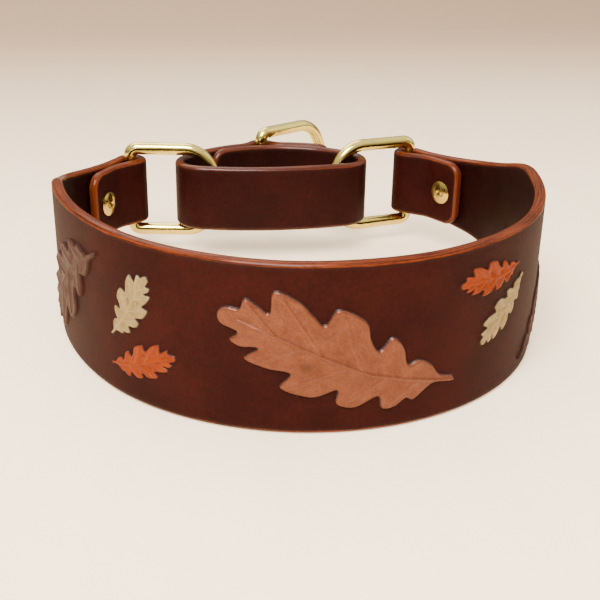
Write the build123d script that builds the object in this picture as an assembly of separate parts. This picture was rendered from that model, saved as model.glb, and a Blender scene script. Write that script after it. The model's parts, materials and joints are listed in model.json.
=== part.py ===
from build123d import *
import os
from math import atan2, cos, degrees, hypot, radians, sin, sqrt

# Martingale dog collar standing on the lower edge of its wide front band, in millimetres.
# Origin: centre of the round front, at the height of the band's lower edge.
# +Y points to the back, where the rings and the control loop are. +Z is up.

# leather
leather = 3.6             # thickness of the band and of the loop strap
layer_gap = 0.2           # between two layers riveted together
band_width = 50.8         # height of the wide front
strap_width = 25.4        # height of the tabs and of the control loop
corner_radius = 6.0       # rounded corners at the cut ends of the straps

# plan of the wide band, one half
front_radius = 77.0       # outer face of the round front
front_turn = 60.0         # degrees of that curve either side of the middle
side_radius = 109.2       # outer face of the flatter sides
side_length = 16.0        # straight run from the widest point to the rear bend
bend_radius = 36.0        # mid-line of the bend behind the sides
tab_lean = 30.0           # degrees that the doubled tab turns in
tab_length = 30.0         # straight tab, from the bend to the ring's bar
flap_length = 28.0        # from the ring's bar to the end of the folded flap
flap_slope = 24.0         # degrees that the flap closes onto the tab behind the bar
flap_blend = 12.0         # bend radius where the flap comes to lie on the tab
tab_rivet_at = 20.0       # from the ring's bar to the tab rivet
taper_start = 0.0         # y where the band begins to narrow
taper_points = ((0.30, 0.35), (0.57, 0.74))   # share of the taper's run, share of its drop

# cast D-rings
wire = 4.8                # wire diameter
ring_play = 2.6           # opening height of a ring, more than the strap's width
ring_depth = 33.8         # middle of the straight bar to the middle of the round end
shoulder_radius = 11.0    # where an arm turns into the round end
shoulder_turn = 55.0      # degrees of that turn
ring_corner = 3.0         # corners beside the straight bar
bar_clearance = 0.1       # between a bar and the leather folded round it

# control loop, in its own frame: x along it, y to the back
loop_half = 23.5          # middle of the loop to the middle of an end bend
end_bend = 10.2           # mid-line radius of the end bends
near_bow = 2.4            # how far the front run bows out beyond the end bends
rear_bow = 9.6            # the same for the rear run's inner layer
loop_place = (0.9, 67.2)  # middle of the end bends, in the collar's frame
loop_turn = -1.5          # degrees the loop lies turned from square
leash_at = -4.0           # x of the leash ring's bar in the loop
overlap_left = 23.0       # inner layer's end, left of that bar
overlap_right = 30.0      # outer layer's end, right of that bar
rivet_left = 13.5         # rivets either side of the leash ring's bar
rivet_right = 22.0
pocket_blend = 9.0        # bend radius where the outer layer leaves and rejoins the inner
leash_swing = 34.0        # degrees from the loop's length to the leash ring at rest

# double-cap rivets
head_radius = 4.5
head_height = 1.7
head_rim = 0.5
dimple_radius = 1.1
dimple_depth = 0.35
post_radius = 1.5
socket_wall = 0.6
socket_length = 1.8
socket_clearance = 0.02
hole_clearance = 0.1
head_seat = 0.3           # room under a flat head on curved leather

middle = band_width / 2
band_start = (0, leather / 2 - front_radius)
arm_half = (strap_width + ring_play + wire) / 2
fold_radius = wire / 2 + bar_clearance + leather / 2
layer_step = leather + layer_gap


def turned(x, y, angle):
    # the point (x, y) turned about the origin by an angle in degrees
    a = radians(angle)
    return x * cos(a) - y * sin(a), x * sin(a) + y * cos(a)


def circles_meet(c1, r1, c2, r2, side):
    # where two circles cross: on the left of the line c1 to c2 for side 1, on the right for -1
    dx, dy = c2[0] - c1[0], c2[1] - c1[1]
    d = hypot(dx, dy)
    along = (d * d + r1 * r1 - r2 * r2) / (2 * d)
    across = side * sqrt(r1 * r1 - along * along)
    return c1[0] + (along * dx - across * dy) / d, c1[1] + (along * dy + across * dx) / d


def walk(start, heading, steps):
    # Where a path ends, and its heading there. It leaves start at heading and follows the steps,
    # each ("line", length) or ("arc", radius, turn), with a left turn positive.
    x, y = start
    for step in steps:
        if step[0] == "line":
            dx, dy = turned(step[1], 0, heading)
        else:
            radius, turn = step[1:]
            cx, cy = turned(0, radius if turn > 0 else -radius, heading)
            px, py = turned(-cx, -cy, turn)
            dx, dy = cx + px, cy + py
            heading += turn
        x, y = x + dx, y + dy
    return (x, y), heading


def strap(start, heading, steps, width):
    # a flat strap set on edge, with its mid-line on the path that walk follows
    sides = {1: [], -1: []}
    x, y = start
    for step in steps:
        nx, ny = turned(0, 1, heading)
        if step[0] == "line":
            dx, dy = turned(step[1], 0, heading)
            for s, edges in sides.items():
                ox, oy = s * nx * leather / 2, s * ny * leather / 2
                edges.append(Line((x + ox, y + oy), (x + dx + ox, y + dy + oy)))
        else:
            radius, turn = step[1:]
            way = 1 if turn > 0 else -1
            cx, cy = x + way * radius * nx, y + way * radius * ny
            for s, edges in sides.items():
                r = radius - way * s * leather / 2
                points = []
                for share in (0, 0.5, 1):
                    px, py = turned(-way * r * nx, -way * r * ny, turn * share)
                    points.append((cx + px, cy + py))
                edges.append(ThreePointArc(*points))
        (x, y), heading = walk((x, y), heading, [step])
    caps = [Line(sides[1][0] @ 0, sides[-1][0] @ 0), Line(sides[1][-1] @ 1, sides[-1][-1] @ 1)]
    outline = make_face(Wire(sides[1] + sides[-1] + caps))
    return extrude(outline, amount=width, dir=(0, 0, 1)), (x, y), heading


def round_end(body, place, reach):
    # rounds the two corners of a strap's cut end, given a point in the middle of that end
    edges = [e for e in body.edges() if (e.center() - Vector(*place, e.center().Z)).length < reach]
    ends = sorted((e for e in edges if abs(e.length - leather) < 0.01), key=lambda e: e.center().Z)
    return fillet([ends[0], ends[-1]], corner_radius)


def rivet_pieces(place, outward, stack, near_seat, far_seat):
    # A post with a domed head on the near side and a cap pressed on its far end.
    # place is the middle of the stack and outward the direction of the near head, in degrees.
    dx, dy = turned(1, 0, outward)
    near = stack / 2 + near_seat
    far = stack / 2 + far_seat
    bore = post_radius + socket_clearance
    post_end = near + far - 2 * socket_clearance

    def head():
        top = head_height
        rise = (head_radius ** 2 + (top - head_rim) ** 2) / (2 * (top - head_rim))
        lip = top - rise + sqrt(rise * rise - dimple_radius ** 2)
        mid = (head_radius + dimple_radius) / 2
        bowl = (dimple_radius ** 2 + dimple_depth ** 2) / (2 * dimple_depth)
        low = lip - dimple_depth
        hollow = (dimple_radius / 2, low + bowl - sqrt(bowl * bowl - dimple_radius ** 2 / 4))
        edges = [Line((0, 0), (head_radius, 0)),
                 Line((head_radius, 0), (head_radius, head_rim)),
                 ThreePointArc((head_radius, head_rim), (mid, top - rise + sqrt(rise * rise - mid * mid)),
                               (dimple_radius, lip)),
                 ThreePointArc((dimple_radius, lip), hollow, (0, low)),
                 Line((0, low), (0, 0))]
        face = Plane.XZ * make_face(Wire(edges))
        return revolve(face, Axis.Z, 360)

    post = head() + Pos(0, 0, -post_end / 2) * Cylinder(post_radius, post_end)
    sleeve = Cylinder(bore + socket_wall, socket_length) - Cylinder(bore, socket_length)
    cap = head() + Pos(0, 0, -socket_length / 2) * sleeve
    near_plane = Plane(origin=(place[0] + near * dx, place[1] + near * dy, middle), z_dir=(dx, dy, 0))
    far_plane = Plane(origin=(place[0] - far * dx, place[1] - far * dy, middle), z_dir=(-dx, -dy, 0))
    return near_plane * post, far_plane * cap


def rivet_hole(place, outward):
    dx, dy = turned(1, 0, outward)
    radius = post_radius + socket_clearance + socket_wall + hole_clearance
    return Plane(origin=(*place, middle), z_dir=(dx, dy, 0)) * Cylinder(radius, 4 * leather)


def d_ring(bar, heading):
    # A round wire bent to a D. Its straight bar stands at bar and its round end points at heading.
    g = radians(shoulder_turn)
    end_z = arm_half - shoulder_radius * (1 - cos(g))
    end_radius = end_z / cos(g)
    arm = ring_depth - shoulder_radius * sin(g) - end_radius * (1 - sin(g))
    c = ring_corner
    end_turn = radians(90) - g

    def bend(x, z, radius, first, last):
        # an arc about (x, z), angles in radians from straight up, turning towards +x
        spots = [(x + radius * sin(a), 0, z + radius * cos(a)) for a in (first, (first + last) / 2, last)]
        return ThreePointArc(*spots)

    path = Wire([Line((0, 0, 0), (0, 0, arm_half - c)),
                 bend(c, arm_half - c, c, -radians(90), 0),
                 Line((c, 0, arm_half), (arm, 0, arm_half)),
                 bend(arm, arm_half - shoulder_radius, shoulder_radius, 0, g),
                 bend(ring_depth - end_radius, 0, end_radius, radians(90) - end_turn, radians(90))])
    half = sweep(Plane.XY * Circle(wire / 2), path=path)
    ring = half + mirror(half, about=Plane.XY)
    return Pos(*bar, middle) * Rot(0, 0, heading) * ring


def band_path():
    # the right half's mid-line, from the middle of the front to the bar of the right ring
    return [("arc", front_radius - leather / 2, front_turn),
            ("arc", side_radius - leather / 2, 90 - front_turn), ("line", side_length),
            ("arc", bend_radius, tab_lean), ("line", tab_length)]


def taper_cut(bar_y):
    # what is taken off above the band's upper edge where it narrows to the tab
    run = bar_y - taper_start
    drop = (band_width - strap_width) / 2
    points = [(taper_start, band_width)]
    points += [(taper_start + a * run, band_width - b * drop) for a, b in taper_points]
    points.append((bar_y, band_width - drop))
    far = bar_y + 4 * fold_radius
    high = band_width + drop
    curve = Spline(points, tangents=[(1, 0), (1, 0)])
    rest = Polyline(points[-1], (far, band_width - drop), (far, high), (taper_start, high), points[0])
    return extrude(Plane.YZ * make_face(Wire([curve, *rest.edges()])), amount=2 * front_radius)


def collar_band():
    # the wide band with both tabs folded round the ring bars, and its two rivet holes
    main, tab_end, heading = strap(band_start, 0, band_path(), band_width)
    cut = taper_cut(bar_place()[0][1])
    main = main - cut - mirror(cut, about=Plane(origin=(0, 0, middle), z_dir=(0, 0, 1)))
    g = radians(flap_slope)
    closing = fold_radius * (1 + cos(g)) - flap_blend * (1 - cos(g)) - layer_step
    slope_run = closing / sin(g)
    used = (fold_radius + flap_blend) * sin(g) + slope_run * cos(g)
    fold = [("arc", fold_radius, 180 + flap_slope), ("line", slope_run),
            ("arc", flap_blend, -flap_slope), ("line", flap_length - used)]
    flap, flap_end, _ = strap(tab_end, heading, fold, strap_width)
    flap = round_end(flap, flap_end, strap_width)
    half = main + Pos(0, 0, middle - strap_width / 2) * flap
    place, outward = tab_rivet_place()
    half = half - rivet_hole(place, outward)
    return half + mirror(half, about=Plane.YZ)


def bar_place():
    # axis of the right ring's straight bar, and the tab's heading there
    (x, y), heading = walk(band_start, 0, band_path())
    nx, ny = turned(0, fold_radius, heading)
    return (x + nx, y + ny), heading


def tab_rivet_place():
    # middle of the right tab's two layers at its rivet, and the direction into the neck
    (x, y), heading = bar_place()
    dx, dy = turned(-tab_rivet_at, layer_step / 2 - fold_radius, heading)
    return (x + dx, y + dy), heading + 90


def loop_layout():
    # Centres and radii of the control loop's arcs in its own frame. The strap starts at the end of
    # the outer layer, crosses the back to the left, rounds both ends and comes back inside.
    def bowed(bow):
        return end_bend + (loop_half ** 2 + bow ** 2) / (2 * bow)

    near, inner = bowed(near_bow), bowed(rear_bow)
    outer = inner + layer_step
    near_at = (0, near - end_bend - near_bow)
    rear_at = (0, end_bend + rear_bow - inner)
    left_at = circles_meet(rear_at, outer - end_bend, near_at, near - end_bend, 1)
    reach = inner + fold_radius
    bar_at = (leash_at, rear_at[1] + sqrt(reach ** 2 - leash_at ** 2))
    return near, inner, outer, near_at, rear_at, left_at, (loop_half, 0), bar_at


def bearing(a, b):
    return degrees(atan2(b[1] - a[1], b[0] - a[0]))


def loop_path():
    near, inner, outer, near_at, rear_at, left_at, right_at, bar_at = loop_layout()
    before = circles_meet(rear_at, outer + pocket_blend, bar_at, pocket_blend + fold_radius, -1)
    after = circles_meet(rear_at, outer + pocket_blend, bar_at, pocket_blend + fold_radius, 1)
    bar_angle = bearing(rear_at, bar_at)
    first = bar_angle - degrees(overlap_right / outer)
    last = bar_angle + degrees(overlap_left / inner)
    start = tuple(c + r for c, r in zip(rear_at, turned(outer, 0, first)))
    into, out = bearing(before, bar_at), bearing(after, bar_at)
    steps = [("arc", outer, bearing(rear_at, before) - first),
             ("arc", pocket_blend, -((bearing(rear_at, before) + 180 - into) % 360)),
             ("arc", fold_radius, (out - into) % 360),
             ("arc", pocket_blend, -((out - bearing(rear_at, after) - 180) % 360)),
             ("arc", outer, bearing(rear_at, left_at) - bearing(rear_at, after)),
             ("arc", end_bend, (bearing(near_at, left_at) - bearing(rear_at, left_at)) % 360),
             ("arc", near, (bearing(near_at, right_at) - bearing(near_at, left_at)) % 360),
             ("arc", end_bend, (bearing(rear_at, right_at) - bearing(near_at, right_at)) % 360),
             ("arc", inner, last - bearing(rear_at, right_at))]
    return start, first + 90, steps


def loop_rivet_places():
    # middle of the two layers at each rivet, and the direction into the loop
    inner, rear_at, bar_at = loop_layout()[1], loop_layout()[4], loop_layout()[7]
    r = inner + layer_step / 2
    places = {}
    for side, distance in (("left", rivet_left), ("right", -rivet_right)):
        angle = bearing(rear_at, bar_at) + degrees(distance / r)
        x, y = turned(r, 0, angle)
        places[side] = ((x + rear_at[0], y + rear_at[1]), angle + 180)
    return places


def control_loop():
    start, heading, steps = loop_path()
    body, end, _ = strap(start, heading, steps, strap_width)
    body = round_end(body, start, strap_width)
    body = round_end(body, end, strap_width)
    body = Pos(0, 0, middle - strap_width / 2) * body
    for place, outward in loop_rivet_places().values():
        body = body - rivet_hole(place, outward)
    return body


def in_collar(x, y):
    # a point of the loop's frame in the collar's frame
    tx, ty = turned(x, y, loop_turn)
    return tx + loop_place[0], ty + loop_place[1]


os.makedirs("parts", exist_ok=True)
pieces = {"collar_band": collar_band()}

stack = leather + layer_step
place, outward = tab_rivet_place()
post, cap = rivet_pieces(place, outward, stack, 0, 0)
pieces["right_tab_rivet_post"] = post
pieces["right_tab_rivet_cap"] = cap
pieces["left_tab_rivet_post"] = mirror(post, about=Plane.YZ)
pieces["left_tab_rivet_cap"] = mirror(cap, about=Plane.YZ)

to_collar = Pos(*loop_place, 0) * Rot(0, 0, loop_turn)
pieces["control_loop"] = to_collar * control_loop()
for side, (place, outward) in loop_rivet_places().items():
    post, cap = rivet_pieces(place, outward, stack, head_seat, head_seat)
    pieces[f"loop_{side}_rivet_post"] = to_collar * post
    pieces[f"loop_{side}_rivet_cap"] = to_collar * cap

bar_x, bar_y = bar_place()[0]
left_bend, right_bend, leash_bar = (in_collar(*p) for p in loop_layout()[5:])
pieces["left_d_ring"] = d_ring((-bar_x, bar_y), bearing((-bar_x, bar_y), left_bend))
pieces["right_d_ring"] = d_ring((bar_x, bar_y), bearing((bar_x, bar_y), right_bend))
pieces["leash_d_ring"] = d_ring(leash_bar, loop_turn + leash_swing)

for name, shape in pieces.items():
    export_step(shape, f"parts/{name}.step")
print("ring bars", (bar_x, bar_y), leash_bar, "loop bends", left_bend, right_bend)
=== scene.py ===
import json
from math import atan2, ceil, cos, degrees, hypot, pi, radians, sin, sqrt

import bpy
import numpy as np
from mathutils import Matrix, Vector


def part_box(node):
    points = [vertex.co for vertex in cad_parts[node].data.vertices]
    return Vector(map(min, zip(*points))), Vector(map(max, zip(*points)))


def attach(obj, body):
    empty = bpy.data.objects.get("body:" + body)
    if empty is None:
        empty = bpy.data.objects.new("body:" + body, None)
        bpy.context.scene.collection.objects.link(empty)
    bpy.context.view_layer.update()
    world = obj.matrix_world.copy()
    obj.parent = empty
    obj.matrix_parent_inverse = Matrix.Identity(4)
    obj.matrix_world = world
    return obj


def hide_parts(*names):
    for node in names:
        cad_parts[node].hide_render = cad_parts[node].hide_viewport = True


# Martingale dog collar: dyed leather band and control loop, painted oak leaves, brass rings and rivets.
# Metres, in the part's own frame: +Y to the rings, +Z up.

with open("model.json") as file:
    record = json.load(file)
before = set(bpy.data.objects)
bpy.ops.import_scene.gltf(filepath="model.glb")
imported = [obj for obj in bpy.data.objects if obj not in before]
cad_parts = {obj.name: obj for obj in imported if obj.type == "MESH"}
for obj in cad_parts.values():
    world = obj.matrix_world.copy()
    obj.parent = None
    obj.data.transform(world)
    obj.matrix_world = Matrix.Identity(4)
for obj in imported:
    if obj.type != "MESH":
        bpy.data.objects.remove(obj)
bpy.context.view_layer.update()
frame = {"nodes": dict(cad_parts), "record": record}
mm = 0.001

# the straps' mid-lines, with the sizes that the part itself has
leatherSizes = {
    "thickness": 3.6 * mm, "layerGap": 0.2 * mm,
    "wideHalf": 25.4 * mm, "narrowHalf": 12.7 * mm,   # half heights of the front and of the straps
    "cornerRadius": 6.0 * mm,
    "edgeRounding": 1.5 * mm,                         # how far in from the outline the edge is rounded
    "wire": 4.8 * mm, "barClearance": 0.1 * mm,
    "middle": 25.4 * mm,                              # height of every strap's mid-line
    "edgeRun": 2.6 * mm,                              # over the surface from the edge's middle to the face
    "edgeFullness": 0.9,                              # under 1 makes the rounded edge fuller
    "edgeRows": 8, "cornerRows": 9, "faceColumns": 23, "rowSpacing": 0.9 * mm,
    "waves": ((61, 0, 1.0), (143, 1, 0.6)),           # radians per metre, start, share: a top edge wavers
}
bandSizes = {
    "frontRadius": 77.0 * mm, "frontTurn": 60.0, "sideRadius": 109.2 * mm, "sideLength": 16.0 * mm,
    "bendRadius": 36.0 * mm, "tabLean": 30.0, "tabLength": 30.0 * mm,
    "flapLength": 28.0 * mm, "flapSlope": 24.0, "flapBlend": 12.0 * mm,
    "taperShares": (0.0, 0.30, 0.57, 1.0), "dropShares": (0.0, 0.35, 0.74, 1.0),
}
loopSizes = {
    "half": 23.5 * mm, "endBend": 10.2 * mm, "nearBow": 2.4 * mm, "rearBow": 9.6 * mm,
    "place": (0.9 * mm, 67.2 * mm), "turn": -1.5, "leashAt": -4.0 * mm,
    "overlapLeft": 23.0 * mm, "overlapRight": 30.0 * mm, "pocketBlend": 9.0 * mm, "leashSwing": 34.0,
}
halfThick = leatherSizes["thickness"] / 2
foldRadius = leatherSizes["wire"] / 2 + leatherSizes["barClearance"] + halfThick
layerStep = leatherSizes["thickness"] + leatherSizes["layerGap"]


def turned(x, y, angle):
    # a point turned about the origin: x cos a - y sin a, x sin a + y cos a
    a = radians(angle)
    return x * cos(a) - y * sin(a), x * sin(a) + y * cos(a)


def bearing(a, b):
    # the direction from a to b in degrees, the arctangent of the rise over the run
    return degrees(atan2(b[1] - a[1], b[0] - a[0]))


def circlesMeet(c1, r1, c2, r2, side):
    # Where two circles cross, on the left of the line between their centres for side 1. The crossing
    # lies (d^2 + r1^2 - r2^2) / 2d along that line, and beside it by what Pythagoras leaves of r1.
    dx, dy = c2[0] - c1[0], c2[1] - c1[1]
    d = hypot(dx, dy)
    along = (d * d + r1 * r1 - r2 * r2) / (2 * d)
    across = side * sqrt(r1 * r1 - along * along)
    return c1[0] + (along * dx - across * dy) / d, c1[1] + (along * dy + across * dx) / d


def followPath(start, heading, steps, spacing=0.4 * mm):
    # A line of straight runs and arcs. On a run the point moves by the distance times the heading's
    # direction; on an arc the heading grows by distance / radius about a centre square to it.
    # Gives arrays of distance, x, y and heading in radians.
    parts = []
    x, y, h, done = start[0], start[1], radians(heading), 0.0
    for kind, size, *turn in steps:
        way = 1 if turn and turn[0] > 0 else -1
        length = size if kind == "line" else size * abs(radians(turn[0]))
        t = np.linspace(0, length, max(2, ceil(length / spacing) + 1))
        if kind == "line":
            px, py, ph = x + t * cos(h), y + t * sin(h), np.full_like(t, h)
        else:
            ph = h + way * t / size
            cx, cy = x - way * size * sin(h), y + way * size * cos(h)
            px, py = cx + way * size * np.sin(ph), cy - way * size * np.cos(ph)
        parts.append(np.array([done + t, px, py, ph])[:, 1 if parts else 0:])
        x, y, h, done = px[-1], py[-1], ph[-1], done + length
    s, px, py, ph = np.concatenate(parts, axis=1)
    return {"s": s, "x": px, "y": py, "heading": ph}


def onPath(path, s):
    # x, y and heading at the distances s, between the path's own points
    return tuple(np.interp(s, path["s"], path[k]) for k in ("x", "y", "heading"))


def bandMidline():
    # The right half from the middle of the front to the end of the folded flap, then both halves:
    # the left one has x and heading with their signs changed. The flap closes from the fold's
    # width, two radii, to one layer's step, down a slope of length closing / sin(slope).
    b = bandSizes
    g = radians(b["flapSlope"])
    closing = foldRadius * (1 + cos(g)) - b["flapBlend"] * (1 - cos(g)) - layerStep
    slopeRun = closing / sin(g)
    used = (foldRadius + b["flapBlend"]) * sin(g) + slopeRun * cos(g)
    toBar = [("arc", b["frontRadius"] - halfThick, b["frontTurn"]),
             ("arc", b["sideRadius"] - halfThick, 90 - b["frontTurn"]), ("line", b["sideLength"]),
             ("arc", b["bendRadius"], b["tabLean"]), ("line", b["tabLength"])]
    fold = [("arc", foldRadius, 180 + b["flapSlope"]), ("line", slopeRun),
            ("arc", b["flapBlend"], -b["flapSlope"]), ("line", b["flapLength"] - used)]
    start = (0, halfThick - b["frontRadius"])
    half = followPath(start, 0, toBar + fold)
    foldAt = followPath(start, 0, toBar)["s"][-1]
    both = {k: np.concatenate([sign * half[k][:0:-1], half[k]])
            for k, sign in (("s", -1), ("x", -1), ("y", 1), ("heading", -1))}
    return both, foldAt


def loopLayout():
    # Centres and radii of the control loop's arcs, in its own frame. The near and rear runs are arcs
    # that touch both end bends.
    p = loopSizes

    def bowed(bow):
        # a chord of twice half with that bow has the radius (half^2 + bow^2) / 2 bow
        return p["endBend"] + (p["half"] ** 2 + bow ** 2) / (2 * bow)

    near, inner = bowed(p["nearBow"]), bowed(p["rearBow"])
    nearAt = (0, near - p["endBend"] - p["nearBow"])
    rearAt = (0, p["endBend"] + p["rearBow"] - inner)
    leftAt = circlesMeet(rearAt, inner + layerStep - p["endBend"], nearAt, near - p["endBend"], 1)
    reach = inner + foldRadius
    barAt = (p["leashAt"], rearAt[1] + sqrt(reach ** 2 - p["leashAt"] ** 2))
    return near, inner, inner + layerStep, nearAt, rearAt, leftAt, (p["half"], 0), barAt


def inCollar(x, y):
    # from the loop's own frame to the collar's: turned, then moved to its place
    tx, ty = turned(x, y, loopSizes["turn"])
    return tx + loopSizes["place"][0], ty + loopSizes["place"][1]


def loopMidline():
    # from the right end of the outer rear layer, round the leash ring's bar and both end bends,
    # to the left end of the inner rear layer
    p = loopSizes
    near, inner, outer, nearAt, rearAt, leftAt, rightAt, barAt = loopLayout()
    blend = p["pocketBlend"]
    before = circlesMeet(rearAt, outer + blend, barAt, blend + foldRadius, -1)
    after = circlesMeet(rearAt, outer + blend, barAt, blend + foldRadius, 1)
    barAngle = bearing(rearAt, barAt)
    first = barAngle - degrees(p["overlapRight"] / outer)
    last = barAngle + degrees(p["overlapLeft"] / inner)
    into, out = bearing(before, barAt), bearing(after, barAt)
    start = tuple(c + r for c, r in zip(rearAt, turned(outer, 0, first)))
    steps = [("arc", outer, bearing(rearAt, before) - first),
             ("arc", blend, -((bearing(rearAt, before) + 180 - into) % 360)),
             ("arc", foldRadius, (out - into) % 360),
             ("arc", blend, -((out - bearing(rearAt, after) - 180) % 360)),
             ("arc", outer, bearing(rearAt, leftAt) - bearing(rearAt, after)),
             ("arc", p["endBend"], (bearing(nearAt, leftAt) - bearing(rearAt, leftAt)) % 360),
             ("arc", near, (bearing(nearAt, rightAt) - bearing(nearAt, leftAt)) % 360),
             ("arc", p["endBend"], (bearing(rearAt, rightAt) - bearing(nearAt, rightAt)) % 360),
             ("arc", inner, last - bearing(rearAt, rightAt))]
    return followPath(inCollar(*start), first + 90 + p["turn"], steps)


bandPath, foldAt = bandMidline()
loopPath = loopMidline()


def addMesh(name, points, quads, attributes, body, replaced=()):
    # a mesh piece in its place, smooth shaded, with one number per point for each attribute
    mesh = bpy.data.meshes.new(name)
    mesh.from_pydata(points.tolist(), [], quads.tolist())
    mesh.shade_smooth()
    for key, values in attributes.items():
        layer = mesh.attributes.new(key, "FLOAT", "POINT")
        layer.data.foreach_set("value", np.ascontiguousarray(values, dtype=np.float32))
    piece = bpy.data.objects.new(name, mesh)
    bpy.context.collection.objects.link(piece)
    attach(piece, body)
    if replaced:
        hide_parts(*replaced)
    print(name, len(quads), "faces")
    return piece


def smoothStep(value, low, high):
    # 3t^2 - 2t^3 with t from 0 at low to 1 at high
    t = np.clip((value - low) / (high - low), 0, 1)
    return t * t * (3 - 2 * t)


def clampedCurve(xs, ys, x):
    # A cubic through the points (xs, ys), level at both ends. The inner slopes make its curvature
    # continuous; between two points it is the Hermite cubic of their heights and slopes.
    xs, ys = np.array(xs), np.array(ys)
    w, rise = np.diff(xs), np.diff(ys) / np.diff(xs)
    n = len(xs)
    grid, right = np.eye(n), np.zeros(n)
    for i in range(1, n - 1):
        grid[i, i - 1:i + 2] = w[i], 2 * (w[i - 1] + w[i]), w[i - 1]
        right[i] = 3 * (w[i] * rise[i - 1] + w[i - 1] * rise[i])
    slopes = np.linalg.solve(grid, right)
    x = np.clip(x, xs[0], xs[-1])
    i = np.clip(np.searchsorted(xs, x, side="right") - 1, 0, n - 2)
    t = (x - xs[i]) / w[i]
    return (ys[i] * (1 + 2 * t) * (1 - t) ** 2 + ys[i + 1] * t * t * (3 - 2 * t)
            + w[i] * (slopes[i] * t * (1 - t) ** 2 - slopes[i + 1] * t * t * (1 - t)))


def quadGrid(rows, columns, first=0):
    # quads between the neighbouring points of a grid stored row by row
    i = first + np.arange(rows - 1)[:, None] * columns + np.arange(columns - 1)[None, :]
    return np.stack([i, i + 1, i + columns + 1, i + columns], axis=-1).reshape(-1, 4)


def strapSurface(name, path, halfHeight, body, node, waver):
    # A strap on edge as two sheets over one outline. With d the distance in from the outline and r
    # the rounding, a sheet lies at half the thickness times sqrt(1 - (1 - d / r)^2), raised to the edge's
    # fullness, from the mid-line, so both meet along the outline. Rows near the outline are spaced evenly
    # in arccos(1 - d / r).
    r, c = leatherSizes["edgeRounding"], leatherSizes["cornerRadius"]
    low, high = path["s"][0], path["s"][-1]
    rounding = r * (1 - np.cos(np.linspace(0, pi / 2, leatherSizes["edgeRows"])))
    endRun = np.concatenate([rounding, np.linspace(r, c, leatherSizes["cornerRows"])[1:]])
    inner = np.linspace(low + c, high - c, ceil((high - low - 2 * c) / leatherSizes["rowSpacing"]))
    s = np.concatenate([low + endRun[:-1], inner, (high - endRun[:-1])[::-1]])
    d = np.minimum(s - low, high - s)
    full = halfHeight(s)
    half = full - c + np.sqrt(np.clip(c * c - np.clip(c - d, 0, c) ** 2, 0, None))
    share = np.linspace(-1, 1, leatherSizes["faceColumns"])[1:-1]
    z = np.concatenate([-(half[:, None] - rounding[None, :]), (half - r)[:, None] * share[None, :],
                        (half[:, None] - rounding[None, ::-1])], axis=1)
    # distance in from the outline, about the corner's centre where the corner is round
    across = full[:, None] - np.abs(z)
    dx, dz = np.clip(c - d, 0, c)[:, None], np.clip(c - across, 0, None)
    straight = np.minimum(np.where(dx > 0, d[:, None], 1), across)
    inset = np.clip(np.where((dx > 0) & (dz > 0), c - np.hypot(dx, dz), straight), 0, None)
    inset[0], inset[-1], inset[:, 0], inset[:, -1] = 0, 0, 0, 0
    angle = np.arccos(np.clip(1 - inset / r, 0, 1))
    thick = halfThick * np.sin(angle) ** leatherSizes["edgeFullness"]
    # distance over the surface from the middle of the edge, in millimetres
    run = leatherSizes["edgeRun"]
    rim = np.where(inset < r, angle / (pi / 2) * run, run + inset - r) / mm
    x, y, h = (v[:, None] for v in onPath(path, s))
    wave = sum(part * np.sin(s * rate + first) for rate, first, part in leatherSizes["waves"])
    lift = waver * wave[:, None] * (z / full[:, None]) ** 4       # strongest along the top edge
    z = z + leatherSizes["middle"] + lift * (z > 0)
    outer = np.stack([x + thick * np.sin(h), y - thick * np.cos(h), z], axis=-1).reshape(-1, 3)
    within = np.stack([x - thick * np.sin(h), y + thick * np.cos(h), z], axis=-1).reshape(-1, 3)
    rows, columns = z.shape
    quads = quadGrid(rows, columns)[:, ::-1]
    back = quadGrid(rows, columns, rows * columns)
    index = np.arange(2 * rows * columns)
    grid = index[:rows * columns].reshape(rows, columns)
    edge = np.unique(np.concatenate([grid[0], grid[-1], grid[:, 0], grid[:, -1]]))
    index[edge + rows * columns] = edge                 # the sheets share the points of the outline
    used, packed = np.unique(index, return_inverse=True)
    allQuads = packed[np.concatenate([quads, back])]
    data = {"along": np.broadcast_to(s[:, None] / mm, z.shape), "across": (z - leatherSizes["middle"]) / mm,
            "rim": rim}
    values = {k: np.tile(v.reshape(-1), 2)[used] for k, v in data.items()}
    values["side"] = (np.concatenate([thick.reshape(-1), -thick.reshape(-1)]) / halfThick)[used]
    return addMesh(name, np.concatenate([outer, within])[used], allQuads, values, body, (node,))


def bandHalfHeight(s):
    # the full width in front, narrowing from y = 0 to the ring's bar
    barY = onPath(bandPath, foldAt)[1]
    drop = leatherSizes["wideHalf"] - leatherSizes["narrowHalf"]
    share = clampedCurve(bandSizes["taperShares"], bandSizes["dropShares"], onPath(bandPath, s)[1] / barY)
    return np.where(np.abs(s) < foldAt, leatherSizes["wideHalf"] - drop * share, leatherSizes["narrowHalf"])


def strapHalfHeight(s):
    # the same at every distance s
    return np.full_like(s, leatherSizes["narrowHalf"])


print("straps")
band = strapSurface("wide_band", bandPath, bandHalfHeight, "collar", "collar_band", 0.08 * mm)
loop = strapSurface("draw_loop", loopPath, strapHalfHeight, "loop", "control_loop",
                    0.10 * mm)


ringSizes = {
    "armHalf": 16.4 * mm, "depth": 33.8 * mm, "shoulderRadius": 11.0 * mm, "shoulderTurn": 55.0,
    "corner": 3.0 * mm, "around": 28, "spacing": 0.5 * mm,
    "flow": 0.05 * mm,                      # how uneven the cast wire is
    "trueTo": 3.0 * mm, "flowFrom": 8.0 * mm,   # the bar keeps its true size in the fold
    "ripples": (0.31, 0.17),                # radians per millimetre of wire
}


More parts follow.
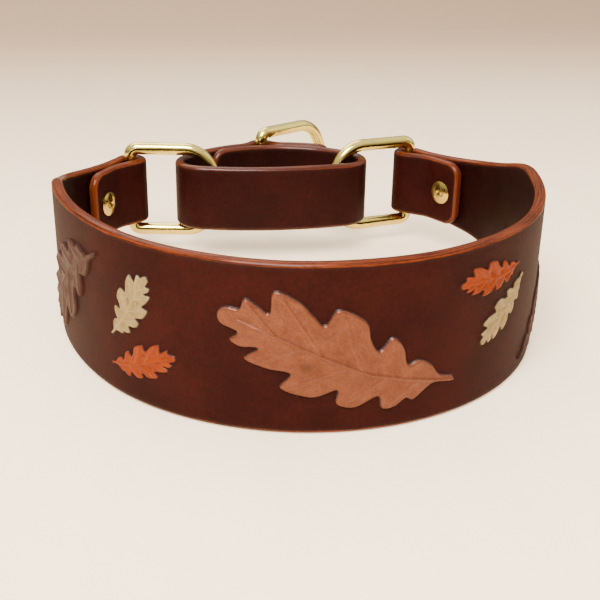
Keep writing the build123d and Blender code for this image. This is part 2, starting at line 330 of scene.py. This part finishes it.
def dRing(name, node, body, bar, heading):
    # Round wire carried along a D: a circle of the wire's radius, square to the path at each point.
    # The path lies in the plane of +Z and the heading; its second half mirrors its first.
    p = ringSizes
    wire = leatherSizes["wire"] / 2
    g = radians(p["shoulderTurn"])
    endRadius = (p["armHalf"] - p["shoulderRadius"] * (1 - cos(g))) / cos(g)
    arm = p["depth"] - p["shoulderRadius"] * sin(g) - endRadius * (1 - sin(g))
    c = p["corner"]
    steps = [("line", p["armHalf"] - c), ("arc", c, -90), ("line", arm - c),
             ("arc", p["shoulderRadius"], -p["shoulderTurn"]), ("arc", endRadius, -(90 - p["shoulderTurn"]))]
    half = followPath((0, 0), 90, steps, p["spacing"])
    x = np.concatenate([half["x"], half["x"][-2:0:-1]])
    z = np.concatenate([half["y"], -half["y"][-2:0:-1]])
    h = np.concatenate([half["heading"], -pi - half["heading"][-2:0:-1]])
    a = np.linspace(0, 2 * pi, p["around"], endpoint=False)[None, :]
    free = smoothStep(x, p["trueTo"], p["flowFrom"])[:, None]
    length = np.arange(len(x))[:, None] * p["spacing"] / mm
    fast, slow = p["ripples"]
    ripple = np.sin(length * fast + 2 * a) * np.sin(length * slow + 1)
    r = wire - p["flow"] * free * (0.5 + 0.5 * ripple)
    px = x[:, None] + r * np.cos(a) * -np.sin(h)[:, None]
    pz = z[:, None] + r * np.cos(a) * np.cos(h)[:, None]
    side = r * np.sin(a)
    dx, dy = cos(radians(heading)), sin(radians(heading))
    points = np.stack([bar[0] + px * dx - side * dy, bar[1] + px * dy + side * dx,
                       leatherSizes["middle"] + pz], axis=-1)
    n, m = px.shape
    i, j = np.arange(n)[:, None], np.arange(m)[None, :]
    ni, nj = (i + 1) % n, (j + 1) % m
    quads = np.stack([i * m + j, ni * m + j, ni * m + nj, i * m + nj], axis=-1).reshape(-1, 4)
    return addMesh(name, points.reshape(-1, 3), quads, {}, body, (node,))


print("rings")
barAt = {j["name"]: j["pos_m"] for j in frame["record"]["behaviour"]["joints"] if "pos_m" in j}
leftBend, rightBend = inCollar(*loopLayout()[5]), inCollar(*loopLayout()[6])
ringPlaces = {
    "left": (barAt["left_ring_swing"], bearing(barAt["left_ring_swing"], leftBend)),
    "right": (barAt["right_ring_swing"], bearing(barAt["right_ring_swing"], rightBend)),
    "leash": (barAt["leash_ring_swing"], loopSizes["turn"] + loopSizes["leashSwing"]),
}
rings = [dRing(side + "_ring_wire", side + "_d_ring", side + "_ring", bar, heading)
         for side, (bar, heading) in ringPlaces.items()]


# half an oak leaf's outline each: stem at 0, tip at 1, in shares of the leaf's length
leafOutline = {
    "upper": ((0.0, 0.012), (0.07, 0.012), (0.13, 0.05), (0.19, 0.06), (0.235, 0.035), (0.28, 0.1),
              (0.34, 0.13), (0.37, 0.065), (0.42, 0.1), (0.47, 0.17), (0.585, 0.185), (0.61, 0.11),
              (0.66, 0.13), (0.735, 0.168), (0.835, 0.172), (0.82, 0.085), (0.865, 0.092), (0.925, 0.102),
              (0.93, 0.055), (0.97, 0.042), (0.997, 0.022)),
    "lower": ((0.998, -0.012), (0.972, -0.036), (0.905, -0.040), (0.922, -0.083), (0.875, -0.094),
              (0.81, -0.072), (0.845, -0.135), (0.75, -0.14),
              (0.662, -0.128), (0.675, -0.2), (0.55, -0.196), (0.47, -0.137), (0.45, -0.195),
              (0.375, -0.188), (0.305, -0.122), (0.267, -0.168), (0.22, -0.152), (0.185, -0.107),
              (0.15, -0.108), (0.09, -0.03), (0.0, -0.012)),
}
# veins: points along each, and how strong it is
leafVeins = (
    (((0.0, 0.0), (0.065, -0.012), (0.37, -0.038), (0.55, -0.02), (0.74, 0.0), (0.92, 0.008)), 1.0),
    (((0.475, -0.04), (0.55, -0.10), (0.635, -0.185)), 0.8),
    (((0.655, -0.013), (0.72, -0.065), (0.79, -0.13)), 0.8),
    (((0.79, 0.0), (0.85, -0.04), (0.91, -0.072)), 0.6),
    (((0.30, -0.03), (0.35, -0.09), (0.42, -0.175)), 0.5),
    (((0.16, -0.02), (0.20, -0.07), (0.25, -0.15)), 0.4),
    (((0.22, -0.02), (0.27, 0.03), (0.32, 0.115)), 0.4),
    (((0.40, -0.035), (0.48, 0.05), (0.55, 0.16)), 0.5),
    (((0.58, -0.015), (0.67, 0.06), (0.79, 0.155)), 0.6),
    (((0.76, 0.0), (0.83, 0.04), (0.915, 0.095)), 0.6),
)
# stem and tip on the band's outer face: distance along the band's mid-line from the middle of the front,
# and height, in millimetres
leafPlaces = {
    # name: stem, tip, side of the stem that the upper half lies on, width, paint
    "copper_leaf": ((31.0, 12.1), (-34.7, 35.3), -1, 1.0, "copper"),
    "cream_leaf_left": ((-71.3, 19.7), (-56.2, 40.8), 1, 1.1, "cream"),
    "orange_leaf_left": ((-72.0, 10.0), (-47.6, 18.7), 1, 1.0, "orange"),
    "orange_leaf_right": ((58.0, 40.2), (32.0, 39.4), -1, 0.95, "orange"),
    "cream_leaf_right": ((61.2, 35.8), (42.0, 19.3), -1, 1.0, "cream"),
    "mauve_leaf_left": ((-78.8, 41.5), (-124.0, 8.0), 1, 1.0, "mauve"),
    "mauve_leaf_right": ((67.0, 5.0), (104.0, 24.0), 1, 0.8, "mauve"),
}
leafRelief = {
    "rise": 0.95, "edge": 0.6,          # height of the leaf and width of its rounded edge, millimetres
    "dip": 0.62, "dipWidth": 4.2,       # how far it is pressed down between the veins
    "vein": 0.50, "veinWidth": 0.34,    # the ridge of the midrib
    "gutter": 0.26,                     # dark pressed line round the leaf
    "depth": 0.5,                       # how far the piece reaches into the leather
    "cell": 0.28, "smallCell": 0.21,    # size of the grid's cells on big and small leaves
    "bigFrom": 40,                      # a longer leaf is a big one
    "flat": 0.03,                       # how far the lowest paint stands off the leather
    "hand": 0.03,                       # unevenness of tooling by hand
    "modelLength": 70,                  # the leaf length that the widths above are for
}


def closedSpline(points, each=6):
    # Catmull-Rom through closed points: with t along each span, half of
    # 2b + (c - a)t + (2a - 5b + 4c - d)t^2 + (3b - a - 3c + d)t^3
    b = np.array(points)
    a, c, d = np.roll(b, 1, 0), np.roll(b, -1, 0), np.roll(b, -2, 0)
    t = np.linspace(0, 1, each, endpoint=False)[None, :, None]
    a, b, c, d = (v[:, None, :] for v in (a, b, c, d))
    return (0.5 * (2 * b + (c - a) * t + (2 * a - 5 * b + 4 * c - d) * t ** 2
                   + (3 * b - a - 3 * c + d) * t ** 3)).reshape(-1, 2)


def distanceTo(points, starts, ends):
    # from each point to the nearest of the segments: the foot's share along a segment is kept in 0 to 1
    run = ends - starts
    rel = points[:, None, :] - starts[None, :, :]
    share = np.clip((rel * run).sum(-1) / (run * run).sum(-1), 0, 1)
    return np.linalg.norm(rel - share[..., None] * run, axis=-1)


def insideOf(points, outline):
    # true where a line to the right crosses the outline an odd number of times
    a, b = outline[None], np.roll(outline, -1, 0)[None]
    px, py = points[:, None, 0], points[:, None, 1]
    spans = (a[..., 1] > py) != (b[..., 1] > py)
    rise = np.where(b[..., 1] == a[..., 1], 1e-9, b[..., 1] - a[..., 1])
    return (spans & (px < a[..., 0] + (py - a[..., 1]) * (b[..., 0] - a[..., 0]) / rise)).sum(1) % 2 == 1


def leafHeights(points, outline, scale, seed):
    # In millimetres. With d the distance inside the outline, the leaf rises as a quarter ellipse
    # over its edge, dips between veins and outline, and carries a bell-shaped ridge on each vein.
    p = leafRelief
    d = distanceTo(points, outline, np.roll(outline, -1, 0)).min(1)
    d = np.where(insideOf(points, outline), d, -d)
    nearest, ridge = np.full(len(points), 9.0), np.zeros(len(points))
    size = min(1.0, 0.35 + scale / 110)                      # small leaves are shallower
    spread = scale / p["modelLength"]
    for line, strength in leafVeins:
        v = np.array(line) * scale
        off = distanceTo(points, v[:-1], v[1:]).min(1)
        nearest = np.minimum(nearest, off)
        ridge = np.maximum(ridge, strength * np.exp(-(off / (p["veinWidth"] * size ** 0.5)) ** 2))
    edge = np.sqrt(1 - (1 - np.clip(d / (p["edge"] * size), 0, 1)) ** 2)
    between = smoothStep(np.minimum(nearest, d), 0.15, p["dipWidth"] * spread)
    x, y = points[:, 0], points[:, 1]
    hand = np.sin(x * 0.9 + seed) * np.sin(y * 1.1 + 2 * seed) + 0.6 * np.sin(x * 2.3 - y * 1.7 + seed)
    wave = np.sin(x / spread * 0.33 + seed) * np.sin((y * 0.5 + x * 0.12) / spread + seed)
    uneven = 0.6 + 0.6 * smoothStep(wave, -0.5, 0.9)
    inside = (p["rise"] * edge - p["dip"] * between * uneven + p["vein"] * ridge * smoothStep(d, 0, 0.8)
              + p["hand"] * hand * smoothStep(d, 0.2, 1.5)) * size
    flat = p["flat"]
    outside = np.where(d < -p["gutter"], (d + p["gutter"]) * 1.2, flat)
    height = np.where(d > 0, flat + np.clip(inside, 0, None), np.clip(outside, -p["depth"] * 0.9, None))
    return height, d, ridge, height / size


def leafPiece(name, place, seed):
    # A grid over the leaf, laid on the band's outer face. The height is taken along the face's normal;
    # cells well outside the leaf are left out, and a lower sheet and walls close it in the leather.
    p = leafRelief
    stem, tip, turn, width, paint = place
    stem, tip = np.array(stem), np.array(tip)
    scale = np.hypot(*(tip - stem))
    e1 = (tip - stem) / scale
    e2 = turn * np.array([-e1[1], e1[0]])
    outline = closedSpline(leafOutline["upper"] + leafOutline["lower"]) * scale * [1, width]
    cell = p["cell"] if scale > p["bigFrom"] else p["smallCell"]
    around = 1.0                            # millimetres of grid beyond the outline
    u = np.arange(-around, scale + around, cell)
    v = np.arange(outline[:, 1].min() - around, outline[:, 1].max() + around, cell)
    points = np.stack(np.meshgrid(u, v, indexing="ij"), axis=-1).reshape(-1, 2)
    height, d, ridge, relief = leafHeights(points, outline, scale, seed)
    flat = stem + points[:, :1] * e1 + points[:, 1:] * e2
    x, y, h = onPath(bandPath, flat[:, 0] * mm)

    def onFace(lift):
        # the mid-line's point plus half the thickness and the lift along the normal (sin h, -cos h)
        out = halfThick + lift * mm
        return np.stack([x + out * np.sin(h), y - out * np.cos(h), flat[:, 1] * mm], axis=-1)

    quads = quadGrid(len(u), len(v))
    margin = 1.6 * cell
    kept = (d[quads] > -p["gutter"] - margin).any(1).reshape(len(u) - 1, len(v) - 1)
    # two kept cells that would touch at a corner alone get a third between them
    for sweep in range(3):
        one, two, three, four = kept[:-1, :-1], kept[:-1, 1:], kept[1:, :-1], kept[1:, 1:]
        lone, crossed = one & four & ~two & ~three, two & three & ~one & ~four
        kept[:-1, 1:] |= lone
        kept[:-1, :-1] |= crossed
    quads = quads[kept.reshape(-1)]
    if turn > 0:
        quads = quads[:, ::-1]
    # walls stand on the edges that only one quad has
    ends = np.stack([quads, np.roll(quads, -1, 1)], axis=-1).reshape(-1, 2)
    keys = ends[:, 0] * len(points) + ends[:, 1]
    back = ends[:, 1] * len(points) + ends[:, 0]
    border = ends[~np.isin(keys, back)]
    n = len(points)
    walls = np.stack([border[:, 1], border[:, 0], border[:, 0] + n, border[:, 1] + n], axis=-1)
    faces = np.concatenate([quads, quads[:, ::-1] + n, walls])
    used, packed = np.unique(faces, return_inverse=True)
    both = np.concatenate([onFace(height), onFace(np.full(n, -p["depth"]))])[used]
    data = {k: np.tile(v, 2)[used] for k, v in (("inset", d), ("ridge", ridge), ("relief", relief))}
    return addMesh(name, both, packed.reshape(-1, 4), data, "collar")


print("leaves")
leaves = {name: leafPiece(name, place, 1.7 * i) for i, (name, place) in enumerate(leafPlaces.items())}


class Signal:
    # a socket that takes part in sums, each operation adding a Math node

    def __init__(self, finish, socket):
        self.finish, self.socket = finish, socket

    def math(self, operation, a, b=0.0):
        # a operation b
        return self.finish.make("ShaderNodeMath", {"operation": operation}, {0: a, 1: b})

    def __add__(self, other):
        return self.math("ADD", self, other)

    def __sub__(self, other):
        return self.math("SUBTRACT", self, other)

    def __rsub__(self, other):
        return self.math("SUBTRACT", other, self)

    def __mul__(self, other):
        return self.math("MULTIPLY", self, other)

    def abs(self):
        return self.math("ABSOLUTE", self)

    __radd__ = __add__
    __rmul__ = __mul__


class Finish:
    # a material being put together

    def __init__(self, name, store=bpy.data.materials):
        self.material = store.new(name)
        self.material.use_nodes = True
        self.tree = self.material.node_tree
        self.tree.nodes.clear()

    def make(self, kind, settings=None, sockets=None, output=0):
        # one node: its settings, its inputs linked from signals or set to constants, and one output
        node = self.tree.nodes.new(kind)
        for key, value in (settings or {}).items():
            setattr(node, key, value)
        for key, value in (sockets or {}).items():
            if isinstance(value, Signal):
                self.tree.links.new(value.socket, node.inputs[key])
            else:
                node.inputs[key].default_value = value
        return Signal(self, node.outputs[output]) if len(node.outputs) else None

    def attribute(self, name):
        # a number stored on the mesh's points
        return self.make("ShaderNodeAttribute", {"attribute_name": name}, output=2)

    def place(self):
        # the point itself, in metres
        return self.make("ShaderNodeTexCoord", output=3)

    def join(self, x, y, z):
        # the vector (x, y, z)
        return self.make("ShaderNodeCombineXYZ", {}, {0: x, 1: y, 2: z})

    def noise(self, vector, scale, detail=4.0, roughness=0.55, distortion=0.0):
        # cloudy values from 0 to 1, scale to a unit of the vector
        sockets = {"Vector": vector, "Scale": scale, "Detail": detail, "Roughness": roughness,
                   "Distortion": distortion}
        return self.make("ShaderNodeTexNoise", {}, sockets)

    def cells(self, vector, scale):
        # distance to the nearest of scattered points
        return self.make("ShaderNodeTexVoronoi", {}, {"Vector": vector, "Scale": scale})

    def step(self, value, low, high):
        # 0 at low and 1 at high, smooth between and level past both
        return self.make("ShaderNodeMapRange", {"interpolation_type": "SMOOTHSTEP"},
                         {"Value": value, "From Min": low, "From Max": high})

    def mix(self, share, a, b):
        # a + share (b - a) for colours
        colours = {0: share}
        for key, colour in ((6, a), (7, b)):
            colours[key] = colour if isinstance(colour, Signal) else (*colour, 1)
        return self.make("ShaderNodeMix", {"data_type": "RGBA"}, colours, 2)

    def shade(self, colour, amount):
        # the colour times 1 + amount
        grey = self.join(1 + amount, 1 + amount, 1 + amount)
        return self.make("ShaderNodeVectorMath", {"operation": "MULTIPLY"}, {0: colour, 1: grey})

    def bump(self, height, distance):
        # a normal tilted by the slope of height times distance
        return self.make("ShaderNodeBump", {}, {"Strength": 1.0, "Distance": distance, "Height": height})

    def surface(self, sockets, matt=0.0):
        # matt is the share of the surface that has no shine at all
        shader = self.make("ShaderNodeBsdfPrincipled", {}, sockets)
        if matt:
            dull = {"Color": sockets["Base Color"], "Normal": sockets["Normal"]}
            plain = self.make("ShaderNodeBsdfDiffuse", {}, dull)
            shader = self.make("ShaderNodeMixShader", {}, {0: matt, 1: shader, 2: plain})
        self.make("ShaderNodeOutputMaterial", {}, {"Surface": shader})
        return self.material


# inside is the share of the face's colour left on the inner face: painted shade
leatherLook = {
    "band": {"dye": (0.025, 0.0031, 0.0021), "deep": (0.015, 0.0019, 0.0013), "inside": 0.42,
             "edge": (0.135, 0.024, 0.0040), "edgeDark": (0.024, 0.0040, 0.0012),
             "rough": 0.48, "shine": 0.13, "matt": 0.64},
    "loop": {"dye": (0.024, 0.0031, 0.0020), "deep": (0.015, 0.0020, 0.0013), "inside": 0.6,
             "edge": (0.085, 0.015, 0.0030), "edgeDark": (0.022, 0.0036, 0.0012),
             "rough": 0.46, "shine": 0.13, "matt": 0.45},
}
leatherGrain = {
    "cloud": 0.045, "wrinkle": 1.1, "streaks": 2.2, "fibre": 3.0, "wobble": 0.16, "scuff": 0.8,   # per mm
    "fine": 900, "pores": 1500,             # per metre
    "edgeEnds": (2.15, 2.6),                # millimetres from the edge's middle to where its colour ends
    "lineStarts": (2.0, 2.5), "lineEnds": (2.7, 3.5), "line": (0.018, 0.005, 0.0035),
    "relief": 0.09 * mm,
}


def leatherFinish(name, look):
    # Dyed face with painted shade on its inner side, a darker line where the dye meets the edge, and a
    # burnished edge with streaks along it.
    f, g = Finish(name), leatherGrain
    along, across, rim, side = (f.attribute(k) for k in ("along", "across", "rim", "side"))
    strip = f.join(along, across, side * 3)
    place = f.place()
    cloud = f.noise(strip, g["cloud"], 5, 0.6)              # uneven dye, a few centimetres across
    fine = f.noise(place, g["fine"], 5, 0.6)
    pores = f.cells(place, g["pores"])
    wrinkle = f.noise(f.join(along * 0.6, across, side), g["wrinkle"], 4, 0.6, 0.6)
    face = f.mix(f.step(cloud * 0.75 + fine * 0.25, 0.36, 0.66), look["deep"], look["dye"])
    # painted shade: the inner face keeps only the share inside of the face's colour
    inner = f.step(side, 0.0, -0.8)
    face = f.shade(face, (fine - 0.5) * 0.5 + inner * (look["inside"] - 1))
    streaks = f.noise(f.join(along * 0.03, rim, side * 1.5), g["streaks"], 4, 0.65)
    fibre = f.noise(f.join(along * 0.25, rim * 2, side * 3), g["fibre"], 3, 0.6)
    middleLine = 1 - f.step(rim, 0.15, 0.7)                # the two halves' seam, darker
    edge = f.mix(f.step(streaks * 0.7 + fibre * 0.3, 0.36, 0.62), look["edgeDark"], look["edge"])
    edge = f.shade(edge, middleLine * -0.22 + (fibre - 0.5) * 0.5)
    border = rim + (f.noise(f.join(along, across, 0.0), g["wobble"], 3) - 0.5) * 0.7
    isEdge = 1 - f.step(border, *g["edgeEnds"])
    line = f.step(border, *g["lineStarts"]) * (1 - f.step(border, *g["lineEnds"]))
    colour = f.mix(isEdge, face, edge)
    colour = f.mix(line * 0.75, colour, g["line"])
    scuff = f.step(f.noise(f.join(along * 0.3, across * 1.4, side), g["scuff"], 6, 0.7), 0.60, 0.74)
    rough = look["rough"] + (fine - 0.5) * 0.16 + scuff * 0.10 - isEdge * 0.10
    grain = pores * 0.35 + fine * 0.5 + wrinkle * 0.9
    normal = f.bump(grain * (1 - isEdge * 0.6) + streaks * isEdge * 0.8, g["relief"])
    return f.surface({"Base Color": colour, "Roughness": rough, "Normal": normal,
                      "Coat Weight": isEdge * 0.45, "Coat Roughness": 0.16,
                      "Specular IOR Level": look["shine"]}, look["matt"])


brassLook = {
    "ring": {"brass": (0.66, 0.51, 0.13), "dull": (0.40, 0.28, 0.055), "rough": 0.15, "tarnish": 0.45},
    "rivet": {"brass": (0.52, 0.36, 0.085), "dull": (0.22, 0.135, 0.028), "rough": 0.20, "tarnish": 0.8},
}
brassGrain = {
    "patch": 130, "fine": 1400, "pits": 900,    # per metre
    "dimple": 1.0, "headRim": (3.7, 4.6),       # millimetres from a rivet's centre line
    "relief": 0.06 * mm,
}


def brassFinish(name, look, well=None):
    # Polished cast brass: duller patches, a fine uneven grain, small pits. well is the centre line of a
    # rivet head, (point, direction), round which the colour darkens by distance from that line.
    f, g = Finish(name), brassGrain
    place = f.place()
    patch = f.noise(place, g["patch"], 4, 0.6)
    fine = f.noise(place, g["fine"], 5, 0.65)
    pits = f.step(f.cells(place, g["pits"]), 0.16, 0.05)
    dull = f.step(patch, 0.46, 0.72) * look["tarnish"]
    if well:
        point, direction = well
        rel = f.make("ShaderNodeVectorMath", {"operation": "SUBTRACT"}, {0: place, 1: point})
        across = f.make("ShaderNodeVectorMath", {"operation": "CROSS_PRODUCT"}, {0: rel, 1: direction})
        radius = f.make("ShaderNodeVectorMath", {"operation": "LENGTH"}, {0: across}, 1) * (1 / mm)
        # darker at the dimple, about a millimetre from the centre line, and towards the head's rim
        dimple = 1 - f.step((radius + (patch - 0.5) * 0.5 - g["dimple"]).abs(), 0.1, 0.5)
        rimDarkening = f.step(radius + (patch - 0.5) * 0.6, *g["headRim"])
        dull = dull * 0.6 + dimple * 0.7 + rimDarkening * 0.55
    dull = f.step(dull, 0.0, 1.0)
    colour = f.mix(dull, look["brass"], look["dull"])
    colour = f.shade(colour, (fine - 0.5) * 0.25)
    rough = look["rough"] + dull * 0.22 + (fine - 0.5) * 0.12
    normal = f.bump(fine * 0.4 + patch * 1.5 - pits * 0.6, g["relief"])
    return f.surface({"Base Color": colour, "Metallic": 1.0, "Roughness": rough, "Normal": normal})


# light is the paint's lighter tone and also the ridges' painted highlight; the hollow colour is painted shade
# where the relief is low
paintLook = {
    "copper": {"paint": (0.092, 0.024, 0.0098), "light": (0.165, 0.052, 0.025),
               "hollow": (0.018, 0.0032, 0.0012), "metal": 0.5, "rough": 0.40, "matt": 0.2},
    "orange": {"paint": (0.125, 0.012, 0.0004), "light": (0.20, 0.030, 0.0012),
               "hollow": (0.022, 0.002, 0.0004), "metal": 0.0, "rough": 0.45, "matt": 0.6},
    "cream": {"paint": (0.16, 0.105, 0.035), "light": (0.30, 0.22, 0.095), "hollow": (0.035, 0.014, 0.004),
              "metal": 0.20, "rough": 0.45, "matt": 0.4},
    "mauve": {"paint": (0.030, 0.009, 0.006), "light": (0.055, 0.021, 0.015),
              "hollow": (0.011, 0.0025, 0.0015), "metal": 0.30, "rough": 0.50, "matt": 0.6},
}
paintGrain = {
    "mottle": 260, "speck": 1800,           # per metre
    "leather": (0.014, 0.005, 0.004),       # the dark gutter round a leaf
    "relief": 0.08 * mm,
}


def paintFinish(name, look):
    # Paint, plain or partly metallic, over the tooled relief: painted highlight on the ridges, painted shade
    # in the hollows, dark dye outside.
    f, g = Finish(name), paintGrain
    inset, ridge, relief = (f.attribute(k) for k in ("inset", "ridge", "relief"))
    place = f.place()
    mottle = f.noise(place, g["mottle"], 5, 0.62)
    speck = f.noise(place, g["speck"], 4, 0.7)
    high = f.step(relief, -0.05, 0.55)
    paint = f.mix(f.step(mottle * 0.6 + speck * 0.4, 0.30, 0.80), look["paint"], look["light"])
    # painted shade: darker where the relief is low
    paint = f.mix((1 - high) * 0.8, paint, look["hollow"])
    # painted highlight: lighter on the vein ridges
    paint = f.mix(ridge * 0.5, paint, look["light"])
    paint = f.shade(paint, (speck - 0.5) * 0.40)
    cover = f.step(inset + (speck - 0.5) * 0.15, -0.02, 0.16)
    colour = f.mix(cover, g["leather"], paint)
    rough = look["rough"] + (speck - 0.5) * 0.25 - high * 0.06
    normal = f.bump(speck * 0.6 + mottle * 0.5, g["relief"])
    return f.surface({"Base Color": colour, "Metallic": cover * look["metal"], "Roughness": rough,
                      "Normal": normal, "Coat Weight": cover * 0.05, "Coat Roughness": 0.3,
                      "Specular IOR Level": 0.25}, look["matt"])


print("finishes")
band.data.materials.append(leatherFinish("bandLeather", leatherLook["band"]))
loop.data.materials.append(leatherFinish("loopLeather", leatherLook["loop"]))
ringBrass = brassFinish("ringBrass", brassLook["ring"])
for ring in rings:
    ring.data.materials.append(ringBrass)
paints = {key: paintFinish(key + "Paint", look) for key, look in paintLook.items()}
for name, leaf in leaves.items():
    leaf.data.materials.append(paints[leafPlaces[name][-1]])


def rivetLine(pair):
    # a rivet's centre line runs between the middles of its two pieces' boxes
    a, b = ((np.array(low) + np.array(high)) / 2 for low, high in (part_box(node) for node in pair))
    way = (b - a)[:2] / np.hypot(*(b - a)[:2])
    return (float(a[0]), float(a[1]), leatherSizes["middle"]), (float(way[0]), float(way[1]), 0.0)


for rivet in ("left_tab", "right_tab", "loop_left", "loop_right"):
    pair = (rivet + "_rivet_post", rivet + "_rivet_cap")
    brass = brassFinish(rivet + "RivetBrass", brassLook["rivet"], rivetLine(pair))
    for node in pair:
        materials = frame["nodes"][node].data.materials
        if not materials:
            materials.append(brass)
        for i in range(len(materials)):
            materials[i] = brass


stageLook = {
    "floor": (0.97, 0.77, 0.53), "floorShade": (0.92, 0.71, 0.47),
    "farFloorShade": (0.29, 0.18, 0.10), "fade": (-0.12, 0.68),   # the table's colour far behind, darker as painted shade, and where it turns
    # glow is painted light: the table top glows though it is no lamp
    "glow": 0.85, "floorHalf": 2.5,
    "streaks": (60.0, 6.0, 1.0), "soft": 3.0,   # how often the floor's tone changes, per metre
    "airAbove": (1.7, 1.68, 1.62), "airLow": (0.30, 0.28, 0.25),
    "airRise": (0.0, 0.9),                   # from the low to the high colour; 1 is straight up
    # place, aimed at, size, watts, colour
    "lights": {
        "windowBehind": ((-0.25, 0.70, 0.95), (0.0, 0.05, 0.02), 0.9, 12.0, (1.0, 0.98, 0.95)),
        "softAbove": ((-0.32, -0.62, 0.95), (0.0, -0.1, 0.0), 0.6, 38.0, (1.0, 0.98, 0.95)),
        "leftSide": ((-0.55, -0.70, 0.12), (0.0, -0.07, 0.03), 0.3, 0.9, (0.97, 0.98, 1.0)),
        "rightSide": ((0.9, 0.1, 0.5), (0.0, 0.0, 0.03), 0.7, 1.5, (1.0, 0.97, 0.94)),
    },
}
cameraLook = {"place": (-0.0532, -0.3085, 0.1447), "yaw": 9.69, "pitch": 23.79, "roll": 1.06, "lens": 59.7}


def buildFloor():
    # a square table top with a faint glow of painted light, its colour darker with the distance behind the
    # collar as painted shade
    f = Finish("paleTable")
    place = f.place()
    stretched = f.make("ShaderNodeMapping", {}, {0: place, 3: stageLook["streaks"]})
    tone = f.noise(stretched, 1.0, 5, 0.6)
    soft = f.noise(place, stageLook["soft"], 3, 0.5)
    colour = f.mix(f.step(tone * 0.5 + soft * 0.5, 0.3, 0.7), stageLook["floorShade"], stageLook["floor"])
    depth = f.make("ShaderNodeSeparateXYZ", {}, {0: place}, 1)
    # painted shade: the table darker towards the back
    colour = f.mix(f.step(depth, *stageLook["fade"]), colour, stageLook["farFloorShade"])
    # the emission is painted light that brightens the table
    finish = f.surface({"Base Color": colour, "Roughness": 0.55 + tone * 0.1, "Specular IOR Level": 0.3,
                        "Emission Color": colour, "Emission Strength": stageLook["glow"]})
    h = stageLook["floorHalf"]
    mesh = bpy.data.meshes.new("table")
    mesh.from_pydata([(-h, -h, 0), (h, -h, 0), (h, h, 0), (-h, h, 0)], [], [(0, 1, 2, 3)])
    mesh.materials.append(finish)
    table = bpy.data.objects.new("table", mesh)
    bpy.context.collection.objects.link(table)


def lookRotation(place, target):
    # turns an object's -Z from place to target
    a, b = np.array(place), np.array(target)
    d = (b - a) / np.linalg.norm(b - a)
    right = np.cross(d, (0, 0, 1))
    right /= np.linalg.norm(right)
    return Matrix(np.stack([right, np.cross(right, d), -d], axis=1).tolist())


def buildLights():
    # square lamps, each turned to the point it is aimed at, in a pale room
    for name, (place, target, size, power, colour) in stageLook["lights"].items():
        lamp = bpy.data.lights.new(name, "AREA")
        lamp.shape, lamp.size, lamp.energy, lamp.color = "SQUARE", size, power, colour
        light = bpy.data.objects.new(name, lamp)
        light.matrix_world = Matrix.Translation(place) @ lookRotation(place, target).to_4x4()
        bpy.context.collection.objects.link(light)
    # the room: bright overhead, darker towards the horizon
    room = Finish("studioAir", bpy.data.worlds)
    height = room.make("ShaderNodeSeparateXYZ", {}, {0: room.make("ShaderNodeTexCoord")}, 2)
    colour = room.mix(room.step(height, *stageLook["airRise"]), stageLook["airLow"], stageLook["airAbove"])
    shader = room.make("ShaderNodeBackground", {}, {"Color": colour})
    room.make("ShaderNodeOutputWorld", {}, {"Surface": shader})
    bpy.context.scene.world = room.material


def buildCamera():
    # forward from yaw and pitch, then right and up turned about it by the roll
    c = cameraLook
    yaw, pitch, roll = (radians(c[k]) for k in ("yaw", "pitch", "roll"))
    forward = np.array([sin(yaw) * cos(pitch), cos(yaw) * cos(pitch), -sin(pitch)])
    level = np.array([cos(yaw), -sin(yaw), 0])
    upright = np.cross(level, forward)
    right = level * cos(roll) + upright * sin(roll)
    up = upright * cos(roll) - level * sin(roll)
    lens = bpy.data.cameras.new("tableView")
    lens.lens, lens.sensor_width = c["lens"], 36
    camera = bpy.data.objects.new("tableView", lens)
    turn = Matrix(np.stack([right, up, -forward], axis=1).tolist()).to_4x4()
    camera.matrix_world = Matrix.Translation(c["place"]) @ turn
    bpy.context.collection.objects.link(camera)
    bpy.context.scene.camera = camera


print("stage")
buildFloor()
buildLights()
buildCamera()
